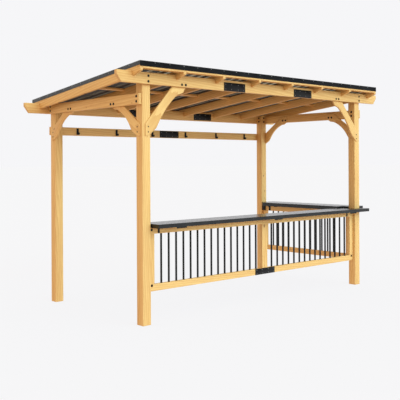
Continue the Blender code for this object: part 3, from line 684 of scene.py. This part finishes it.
class GAZEBO_OT_roof_skin(bpy.types.Operator):
    """Finish the ribbed sheets and the edge trims"""

    bl_idname = "gazebo.roof_skin"
    bl_label = "Roof sheets and trims"

    def execute(self, context):
        for name in named("roof_panel"):
            paint(NODES[name], sheet_paint())
        for name in ("roof_trim_left", "roof_trim_right"):
            paint(NODES[name], rake_paint())
        self.make_eave("roof_trim_front", FRONT)
        self.make_eave("roof_trim_back", BACK)
        return {"FINISHED"}

    def make_eave(self, node, outward):
        """A folded trim: a flange on the sheets, and a leg in front of the rafters."""
        low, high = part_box(node)
        face, tip = (low.y, high.y) if outward == FRONT else (high.y, low.y)
        face -= outward.y * TRIM_SCREW_STANDS
        inner = face - outward.y * EAVE_STEEL
        fall = roof_fall()
        foot = low.z - EAVE_LEG_BELOW_FRAME

        def top(y):
            return high.z - fall * (y - low.y)

        section = ((face, foot), (face, top(face)), (tip, top(tip)), (tip, top(tip) - STEEL),
                   (inner, top(inner) - STEEL), (inner, foot))
        bm = bmesh.new()
        add_run(bm, section, low.x, high.x)
        piece = new_piece(node.replace("roof", "eave"), bm, eave_paint(), (node,))
        ease_edges(piece, settings("steel").edge_radius)


class GAZEBO_OT_steel_plates(bpy.types.Operator):
    """Finish the joint plates and the hooks"""

    bl_idname = "gazebo.steel_plates"
    bl_label = "Plates and hooks"

    def execute(self, context):
        radius = settings("steel").edge_radius
        for name in joint_plates() + hooks():
            paint(NODES[name], plate_paint())
            ease_edges(NODES[name], radius)
        return {"FINISHED"}


class GAZEBO_OT_counters(bpy.types.Operator):
    """Make the counters: folded steel trays on brackets, straps and end tabs"""

    bl_idname = "gazebo.counters"
    bl_label = "Counters"

    def execute(self, context):
        self.make_front()
        self.make_side()
        return {"FINISHED"}

    def make_tray(self, node, outline, top, lip):
        """A sheet folded down all round, open below."""
        bm = bmesh.new()
        upper = [bm.verts.new((x, y, top)) for x, y in outline]
        lower = [bm.verts.new((x, y, top - lip)) for x, y in outline]
        bm.faces.new(upper)
        for index in range(len(outline)):
            after = (index + 1) % len(outline)
            bm.faces.new((lower[index], lower[after], upper[after], upper[index]))
        tray = new_piece(f"{node}_tray", bm, counter_paint(), (node,))
        shell = tray.modifiers.new("folded_sheet", "SOLIDIFY")
        shell.thickness = STEEL
        shell.offset = -1
        shell.use_even_offset = True
        ease_edges(tray, COUNTER_FOLD)

    def make_front(self):
        """The long counter, cut round the right front post."""
        low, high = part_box("front_counter")
        post_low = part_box("post_front_right")[0]
        outer_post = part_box("post_front_left")
        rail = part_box("railing_front_left")
        left = FRONT_START + outer_post[1].x
        outline = ((left, low.y), (high.x, low.y), (high.x, post_low.y - TOUCH),
                   (post_low.x - TOUCH, post_low.y - TOUCH), (post_low.x - TOUCH, high.y),
                   (left, high.y))
        self.make_tray("front_counter", outline, high.z, FRONT_LIP)
        bm = bmesh.new()
        face = rail[0].y - TOUCH
        under = high.z - STEEL
        half = BRACKET_WIDTH / 2
        flange_foot = high.z - FRONT_LIP - BRACKET_SHOWS
        for x in FRONT_BRACKETS:
            for start, stop in ((x - half, x - half + STEEL), (x + half - STEEL, x + half)):
                add_block(bm, (start, low.y + STEEL, rail[1].z + TOUCH), (stop, high.y - STEEL, under))
            add_block(bm, (x - half, low.y + STEEL, flange_foot), (x + half, low.y + 2 * STEEL, under))
        for side in (-1, 1):
            x = side * (post_low.x - STRAP_INSET)
            add_block(bm, (x - STRAP_WIDTH / 2, face - STEEL, low.z),
                      (x + STRAP_WIDTH / 2, face, under))
        tab = (outer_post[0].y + outer_post[1].y - END_TAB_WIDTH) / 2
        wall = outer_post[1].x + TOUCH
        arm = high.z - FRONT_LIP / 2
        add_block(bm, (wall, tab, high.z - END_TAB_DROP), (wall + STEEL, tab + END_TAB_WIDTH, arm))
        add_block(bm, (wall, tab, arm - STEEL), (left + STEEL / 2, tab + END_TAB_WIDTH, arm))
        new_piece("front_counter_supports", bm, plate_paint(), ("front_counter",))

    def make_side(self):
        """The short counter, cut round the post, with one corner cut off at the back."""
        low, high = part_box("side_counter")
        post_low, post_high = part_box("post_front_right")
        back_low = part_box("post_back_right")[0]
        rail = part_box("railing_right")
        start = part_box("front_counter")[1].y + SIDE_CLEARANCE
        end = back_low.y - SIDE_END_GAP
        cut = SIDE_CORNER_CUT
        round_post = post_high.x + SIDE_CLEARANCE
        outline = ((low.x, start), (post_low.x - TOUCH, start),
                   (post_low.x - TOUCH, post_high.y + SIDE_CLEARANCE),
                   (round_post, post_high.y + SIDE_CLEARANCE), (round_post, SIDE_FRONT_END),
                   (high.x, SIDE_FRONT_END), (high.x, end), (low.x + cut, end), (low.x, end - cut))
        self.make_tray("side_counter", outline, high.z, SIDE_LIP)
        bm = bmesh.new()
        face = rail[0].x - TOUCH
        under = high.z - STEEL
        half = BRACKET_WIDTH / 2
        for y in SIDE_BRACKETS:
            for near, far in ((y - half, y - half + STEEL), (y + half - STEEL, y + half)):
                add_block(bm, (low.x + STEEL, near, rail[1].z + TOUCH), (high.x - STEEL, far, under))
        for y in (start + STRAP_INSET, back_low.y - SIDE_STRAP_INSET):
            add_block(bm, (face - STEEL, y - SIDE_STRAP_WIDTH / 2, low.z),
                      (face, y + SIDE_STRAP_WIDTH / 2, under))
        wall = back_low.y - TOUCH
        near = wall - END_BRACKET_WIDTH
        front = face - END_BRACKET_PROUD
        foot = high.z - END_BRACKET_DROP
        add_block(bm, (front, near, foot), (front + STEEL, wall, under))
        add_block(bm, (front, near, foot), (face, near + STEEL, under))
        add_block(bm, (front, wall - STEEL, foot), (face, wall, under))
        new_piece("side_counter_supports", bm, plate_paint(), ("side_counter",))


class GAZEBO_OT_railings(bpy.types.Operator):
    """Make the railings: wooden rails and stiles around round black bars"""

    bl_idname = "gazebo.railings"
    bl_label = "Railings"

    def execute(self, context):
        rails = settings("railing")
        outer, inner = rails.end_stile, rails.middle_stile
        self.make("railing_front_left", 0, (outer, inner), rails.front_bars, rails.left_pitch,
                  rails.left_shift)
        self.make("railing_front_right", 0, (inner, outer), rails.front_bars)
        self.make("railing_right", 1, (outer, outer), rails.side_bars, rails.side_pitch)
        return {"FINISHED"}

    def make(self, node, axis, stiles, bars, pitch=None, shift=0.0):
        """Rails, stiles and bars of one railing, which stand for one node."""
        rails = settings("railing")
        low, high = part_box(node)
        start, stop = low[axis], high[axis]
        window = (low.z + rails.rail_height, high.z - rails.rail_height)
        between = (window[0] + RAIL_SEAM, window[1] - RAIL_SEAM)
        spans = {
            "bottom_rail": ((start, stop), (low.z, window[0])),
            "top_rail": ((start, stop), (window[1], high.z)),
            "first_stile": ((start, start + stiles[0]), between),
            "last_stile": ((stop - stiles[1], stop), between),
        }
        for part, (run, rise) in spans.items():
            bm = bmesh.new()
            corner, far = low.copy(), high.copy()
            corner[axis], far[axis] = run
            corner.z, far.z = rise
            add_block(bm, corner, far)
            if part.endswith("stile"):
                finish = wood("upright", AXES["z"])
            else:
                finish = wood(("lengthwise", "crosswise")[axis], AXES["xy"[axis]])
            piece = new_piece(f"{node}_{part}", bm, finish, (node,))
            ease_edges(piece, settings("timber").edge_radius)

        bm = bmesh.new()
        radius = rails.bar_diameter / 2
        first, last = start + stiles[0], stop - stiles[1]
        pitch = pitch or (last - first + rails.bar_diameter) / (bars + 1)
        length = window[1] - window[0]
        for index in range(bars):
            foot = (low + high) / 2
            foot[axis] = (first + last) / 2 + shift + (index - (bars - 1) / 2) * pitch
            foot.z = window[0]
            profile = ((radius, -BAR_TENON), (radius, length + BAR_TENON))
            add_turned(bm, profile, foot, Vector(AXES["z"]), rails.bar_sides)
        new_piece(f"{node}_bars", bm, plate_paint(), (node,), turned=True)


# Fasteners
def add_washer(bm, place, direction):
    """A flat washer on a face."""
    hardware = settings("hardware")
    ring = ((hardware.washer_radius, 0), (hardware.washer_radius, WASHER_THICKNESS))
    add_turned(bm, ring, place, direction, hardware.turned_sides)


def add_bolt(bm, place, direction):
    """A washer and a domed head with a round recess, standing out of a face."""
    add_washer(bm, place, direction)
    hardware = settings("hardware")
    rim = WASHER_THICKNESS + HEAD_RIM
    dome = [(hardware.head_radius * HEAD_FOOT, WASHER_THICKNESS), (hardware.head_radius, rim)]
    for step in range(1, HEAD_STEPS):
        turn = math.radians(90) * step / HEAD_STEPS
        rise = hardware.head_height * math.sin(turn) * DOME_RISE
        dome.append((hardware.head_radius * math.cos(turn), rim + rise))
    socket = dome[-1][0] * SOCKET_MOUTH
    dome.append((socket, dome[-1][1]))
    dome.append((socket * SOCKET_FLOOR, dome[-1][1] - SOCKET_DEPTH))
    add_turned(bm, dome, place, direction, hardware.turned_sides)


def add_nut(bm, place, direction):
    """A washer, a hexagon nut and the end of the thread."""
    add_washer(bm, place, direction)
    hardware = settings("hardware")
    radius = hardware.nut_radius
    foot = WASHER_THICKNESS
    top = foot + NUT_HEIGHT
    nut = ((radius * NUT_FOOT, foot), (radius, foot + NUT_CHAMFER),
           (radius, top - NUT_CHAMFER), (radius * NUT_TOP, top))
    add_turned(bm, nut, place, direction, NUT_SIDES)
    tip = top + THREAD_STANDS
    thread = ((THREAD_RADIUS, top - THREAD_SUNK), (THREAD_RADIUS, tip - THREAD_TAPER),
              (THREAD_TIP_RADIUS, tip))
    add_turned(bm, thread, place, direction, hardware.turned_sides)


def add_screw(bm, place, direction, radius):
    """A flat domed head with a shallow recess."""
    profile = [(radius * wide, radius * tall) for wide, tall in SCREW_PROFILE]
    add_turned(bm, profile, place, direction, SCREW_SIDES)


class GAZEBO_OT_bolts(bpy.types.Operator):
    """Bolts through the beams, the braces, the railings and the hook bar, and brace screws"""

    bl_idname = "gazebo.bolts"
    bl_label = "Bolts"

    def execute(self, context):
        heads, nuts, screws = bmesh.new(), bmesh.new(), bmesh.new()
        post_low, post_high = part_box("post_front_left")
        front_low, front_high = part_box("front_beam_left")
        back_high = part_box("back_beam_left")[1]
        side_low, side_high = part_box("side_beam_left")
        bar_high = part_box("hook_bar_left")[1]
        brace_low, brace_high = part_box("brace_front_left")
        left_low, left_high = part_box("brace_left_front")
        post_x = -(post_low.x + post_high.x) / 2
        post_y = -(post_low.y + post_high.y) / 2
        corner_x, corner_y = -post_low.x, -post_low.y
        inner_x, inner_y = -post_high.x, -post_high.y
        rail_low, rail_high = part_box("railing_front_left")
        flank_low, flank_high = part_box("railing_right")
        for sign in (-1, 1):
            outward = RIGHT * sign
            for drop in BOLT_PAIR_ON_FRONT_BEAM:
                z = front_high.z - drop
                add_bolt(heads, (sign * post_x, front_low.y, z), FRONT)
                add_nut(nuts, (sign * post_x, -inner_y, z), BACK)
                z = back_high.z - drop
                add_bolt(heads, (sign * post_x, back_high.y, z), BACK)
                add_nut(nuts, (sign * post_x, inner_y, z), FRONT)
            for reach in FRONT_BRACE_HEAD_BOLTS:
                x = sign * (corner_x - reach)
                z = front_low.z + FRONT_BRACE_HEAD_RISE
                add_bolt(heads, (x, front_low.y, z), FRONT)
                add_nut(nuts, (x, brace_high.y, z), BACK)
            for z in BRACE_SCREW_HEIGHTS:
                x = sign * (corner_x - BRACE_SCREW_REACH)
                add_screw(screws, (x, brace_low.y, z), FRONT, BRACE_SCREW_RADIUS)
            for drop in BOLT_PAIR_ON_HOOK_BAR:
                add_bolt(heads, (sign * post_x, bar_high.y, bar_high.z - drop), BACK)
            for z in RAILING_BOLT_HEIGHTS:
                x = sign * (corner_x - RAILING_BOLT_REACH)
                add_bolt(heads, (x, rail_low.y, z), FRONT)
                add_nut(nuts, (x, rail_high.y, z), BACK)
                y = sign * (corner_y - RAILING_BOLT_REACH)
                add_bolt(heads, (flank_high.x, y, z), RIGHT)
                add_nut(nuts, (flank_low.x, y, z), LEFT)
            for row in (-1, 1):
                for drop in BOLT_PAIR_ON_SIDE_BEAM:
                    z = side_high.z - drop
                    y = row * post_y
                    add_bolt(heads, (sign * -side_low.x, y, z), outward)
                    add_nut(nuts, (sign * inner_x, y, z), -outward)
                for reach in SIDE_BRACE_HEAD_BOLTS:
                    y = row * (corner_y - reach)
                    z = side_low.z + SIDE_BRACE_HEAD_RISE
                    add_bolt(heads, (sign * -side_low.x, y, z), outward)
                    add_nut(nuts, (sign * -left_high.x, y, z), -outward)
                for z in BRACE_SCREW_HEIGHTS:
                    y = row * (corner_y - BRACE_SCREW_REACH)
                    add_screw(screws, (sign * -left_low.x, y, z), outward, BRACE_SCREW_RADIUS)
        for name, bm in (("brace_screws", screws), ("bolt_heads", heads), ("bolt_nuts", nuts)):
            new_piece(name, bm, plate_paint(), turned=True)
        return {"FINISHED"}


class GAZEBO_OT_screws(bpy.types.Operator):
    """Screws in the joint plates, the counter straps, the hooks and the roof"""

    bl_idname = "gazebo.screws"
    bl_label = "Screws"

    def execute(self, context):
        self.plates()
        self.counters_and_hooks()
        self.trims()
        self.sheets()
        return {"FINISHED"}

    def plates(self):
        """Eight screws in each joint plate."""
        radius = settings("hardware").screw_radius
        bm = bmesh.new()
        for name in joint_plates():
            low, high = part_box(name)
            centre, half = (low.x + high.x) / 2, (high.x - low.x) / 2
            for across in PLATE_SCREW_INSETS:
                for share in PLATE_SCREW_SHARES:
                    for side in (-1, 1):
                        x = centre + side * (half - across)
                        z = low.z + (high.z - low.z) * share
                        add_screw(bm, (x, low.y, z), FRONT, radius)
        new_piece("plate_screws", bm, screw_paint(), turned=True)

    def counters_and_hooks(self):
        """Two screws in each counter strap and each hook."""
        radius = settings("hardware").screw_radius
        bm = bmesh.new()
        post_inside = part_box("post_front_left")[1]
        low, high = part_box("front_counter")
        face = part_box("railing_front_left")[0].y - TOUCH - STEEL
        for side in (1, -1):
            x = side * (post_inside.x + STRAP_INSET)
            for rise in STRAP_SCREW_RISES:
                add_screw(bm, (x, face, low.z + rise), FRONT, radius)
        start = high.y + SIDE_CLEARANCE
        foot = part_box("side_counter")[0].z
        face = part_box("railing_right")[0].x - TOUCH - STEEL
        for y in (start + STRAP_INSET, -post_inside.y - SIDE_STRAP_INSET):
            for rise in STRAP_SCREW_RISES:
                add_screw(bm, (face, y, foot + rise), LEFT, radius)
        for name in hooks():
            low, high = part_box(name)
            for drop in HOOK_SCREW_DROPS:
                place = ((low.x + high.x) / 2, high.y - HOOK_STEEL, high.z - drop)
                add_screw(bm, place, FRONT, radius * HOOK_SCREW_SHARE)
        new_piece("strap_and_hook_screws", bm, plate_paint(), turned=True)

    def trims(self):
        """Small bright screws along the four roof trims."""
        radius = TRIM_SCREW_RADIUS
        fall = roof_fall()
        bm = bmesh.new()
        low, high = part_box("roof_trim_front")
        back_low, back_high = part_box("roof_trim_back")
        spaces = round((high.x - low.x) / TRIM_SCREW_PITCH)
        face = high.z - low.z
        for index in range(1, spaces):
            x = low.x + (high.x - low.x) * index / spaces
            add_screw(bm, (x, low.y + TRIM_SCREW_STANDS, high.z - TRIM_SCREW_DROP), FRONT, radius)
            z = back_low.z + face - TRIM_SCREW_DROP
            add_screw(bm, (x, back_high.y - TRIM_SCREW_STANDS, z), BACK, radius)
        for name, sign in (("roof_trim_left", -1), ("roof_trim_right", 1)):
            low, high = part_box(name)
            spaces = round((high.y - low.y) / TRIM_SCREW_PITCH)
            x = low.x if sign < 0 else high.x
            for index in range(1, spaces):
                y = low.y + (high.y - low.y) * index / spaces
                z = high.z - TRIM_SCREW_DROP - fall * (y - low.y)
                add_screw(bm, (x, y, z), RIGHT * sign, radius)
        new_piece("trim_screws", bm, zinc(), turned=True)

    def sheets(self):
        """Screws through the roof sheets into each purlin, in every other flat."""
        fall = roof_fall()
        up = Vector((0, fall, 1)).normalized()
        first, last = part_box("roof_panel_1")[0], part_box("roof_panel_3")[1]
        pitch = (last.x - first.x - 2 * ROOF_EDGE_FLAT) / (RIB_COUNT - 1)
        bm = bmesh.new()
        for name in named("purlin_"):
            low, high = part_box(name)
            y = (low.y + high.y) / 2
            z = high.z - fall * (y - low.y) + ROOF_SHEET
            for rib in range(0, RIB_COUNT - 1, 2):
                x = first.x + ROOF_EDGE_FLAT + (rib + 0.5) * pitch
                add_screw(bm, (x, y, z), up, SHEET_SCREW_RADIUS)
        new_piece("sheet_screws", bm, sheet_paint(), turned=True)


# Stage
class GAZEBO_OT_stage(bpy.types.Operator):
    """Set the floor, the light and the camera"""

    bl_idname = "gazebo.stage"
    bl_label = "Stage"

    def execute(self, context):
        stage = settings("stage")
        self.make_floor(stage)
        self.make_sky(context.scene, stage)
        self.make_key(context.scene, stage)
        self.make_camera(context.scene, stage)
        context.scene.view_settings.view_transform = "Standard"
        return {"FINISHED"}

    def make_floor(self, stage):
        """A wide pale floor."""
        bm = bmesh.new()
        bmesh.ops.create_grid(bm, x_segments=1, y_segments=1, size=FLOOR_HALF)
        mesh = bpy.data.meshes.new("studio_floor")
        bm.to_mesh(mesh)
        bm.free()
        floor = bpy.data.objects.new("studio_floor", mesh)
        floor.location.z = -FLOOR_DROP
        floor.visible_diffuse = False
        bpy.context.scene.collection.objects.link(floor)
        n = Nodes(bpy.data.materials.new("studio_floor"))
        n.shader.inputs["Base Color"].default_value = (*stage.floor, 1)
        n.shader.inputs["Emission Color"].default_value = (*stage.backdrop, 1)
        n.shader.inputs["Emission Strength"].default_value = stage.floor_glow
        n.shader.inputs["Roughness"].default_value = 0.9
        n.shader.inputs["Specular IOR Level"].default_value = 0.0
        mesh.materials.append(n.owner)

    def make_sky(self, scene, stage):
        """Light from all round, pale above and warm below, with a pale backdrop."""
        scene.world = bpy.data.worlds.new("studio")
        n = Nodes(scene.world)
        n.tree.nodes.clear()
        direction = n.add("TexCoord").outputs["Generated"]
        height = n.add("SeparateXYZ", {0: direction}).outputs["Z"]
        rise = n.add("MapRange", {0: height, 1: WARM_BELOW, 2: PALE_ABOVE}).outputs["Result"]
        tint = n.mix(rise, stage.bounce, stage.fill)
        light = n.add("Background", {"Color": tint, "Strength": stage.sky_strength})
        seen = n.add("Background", {"Color": stage.backdrop})
        path = n.add("LightPath").outputs
        sharp = n.math("MAXIMUM", path["Is Camera Ray"], path["Is Glossy Ray"])
        choose = n.add("MixShader", {0: sharp, 1: light.outputs[0], 2: seen.outputs[0]})
        n.add("OutputWorld", {"Surface": choose.outputs[0]})

    def make_key(self, scene, stage):
        """One broad soft light from the front right."""
        data = bpy.data.lights.new("key", "SUN")
        data.energy = stage.key_strength
        data.color = stage.key
        data.angle = KEY_SPREAD
        key = bpy.data.objects.new("key", data)
        key.rotation_euler = Vector(KEY_FROM).to_track_quat("Z", "Y").to_euler()
        key.visible_glossy = False
        scene.collection.objects.link(key)

    def make_camera(self, scene, stage):
        """The camera of the photo."""
        data = bpy.data.cameras.new("camera")
        data.sensor_width = CAMERA_SENSOR
        data.lens = stage.lens
        data.shift_y = CAMERA_SHIFT
        data.clip_end = CAMERA_REACH
        camera = bpy.data.objects.new("camera", data)
        forward = Vector((math.sin(stage.turn), math.cos(stage.turn), 0))
        right = Vector((math.cos(stage.turn), -math.sin(stage.turn), 0))
        up = Vector((0, 0, 1))
        tilt_right = math.cos(stage.roll) * right + math.sin(stage.roll) * up
        tilt_up = math.cos(stage.roll) * up - math.sin(stage.roll) * right
        spin = Matrix((tilt_right, tilt_up, -forward)).transposed().to_4x4()
        camera.matrix_world = Matrix.Translation(CAMERA_PLACE) @ spin
        scene.collection.objects.link(camera)
        scene.camera = camera


STEPS = (
    GAZEBO_OT_posts_and_beams,
    GAZEBO_OT_braces,
    GAZEBO_OT_roof_frame,
    GAZEBO_OT_roof_skin,
    GAZEBO_OT_steel_plates,
    GAZEBO_OT_counters,
    GAZEBO_OT_railings,
    GAZEBO_OT_bolts,
    GAZEBO_OT_screws,
    GAZEBO_OT_stage,
)
GROUPS = {
    "timber": TimberSettings,
    "steel": SteelSettings,
    "hardware": HardwareSettings,
    "railing": RailingSettings,
    "stage": StageSettings,
}


class GAZEBO_PT_sidebar(bpy.types.Panel):
    """Buttons and settings of the gazebo"""

    bl_idname = "GAZEBO_PT_sidebar"
    bl_label = "Grill gazebo"
    bl_space_type = "VIEW_3D"
    bl_region_type = "UI"
    bl_category = "Gazebo"

    def draw(self, context):
        for kind in GROUPS:
            box = self.layout.box()
            box.label(text=kind.capitalize())
            group = getattr(context.scene, "gazebo_" + kind)
            for name in group.__annotations__:
                box.prop(group, name)
        for step in STEPS:
            self.layout.operator(step.bl_idname)


def register():
    """Register the settings, the operators and the sidebar."""
    for kind, group in GROUPS.items():
        bpy.utils.register_class(group)
        setattr(bpy.types.Scene, "gazebo_" + kind, PointerProperty(type=group))
    for step in STEPS:
        bpy.utils.register_class(step)
    bpy.utils.register_class(GAZEBO_PT_sidebar)


def unregister():
    """Take everything out again."""
    bpy.utils.unregister_class(GAZEBO_PT_sidebar)
    for step in reversed(STEPS):
        bpy.utils.unregister_class(step)
    for kind, group in GROUPS.items():
        delattr(bpy.types.Scene, "gazebo_" + kind)
        bpy.utils.unregister_class(group)


def main():
    """Run every step in order."""
    register()
    for step in STEPS:
        group, name = step.bl_idname.split(".")
        getattr(getattr(bpy.ops, group), name)()


if __name__ == "__main__":
    main()
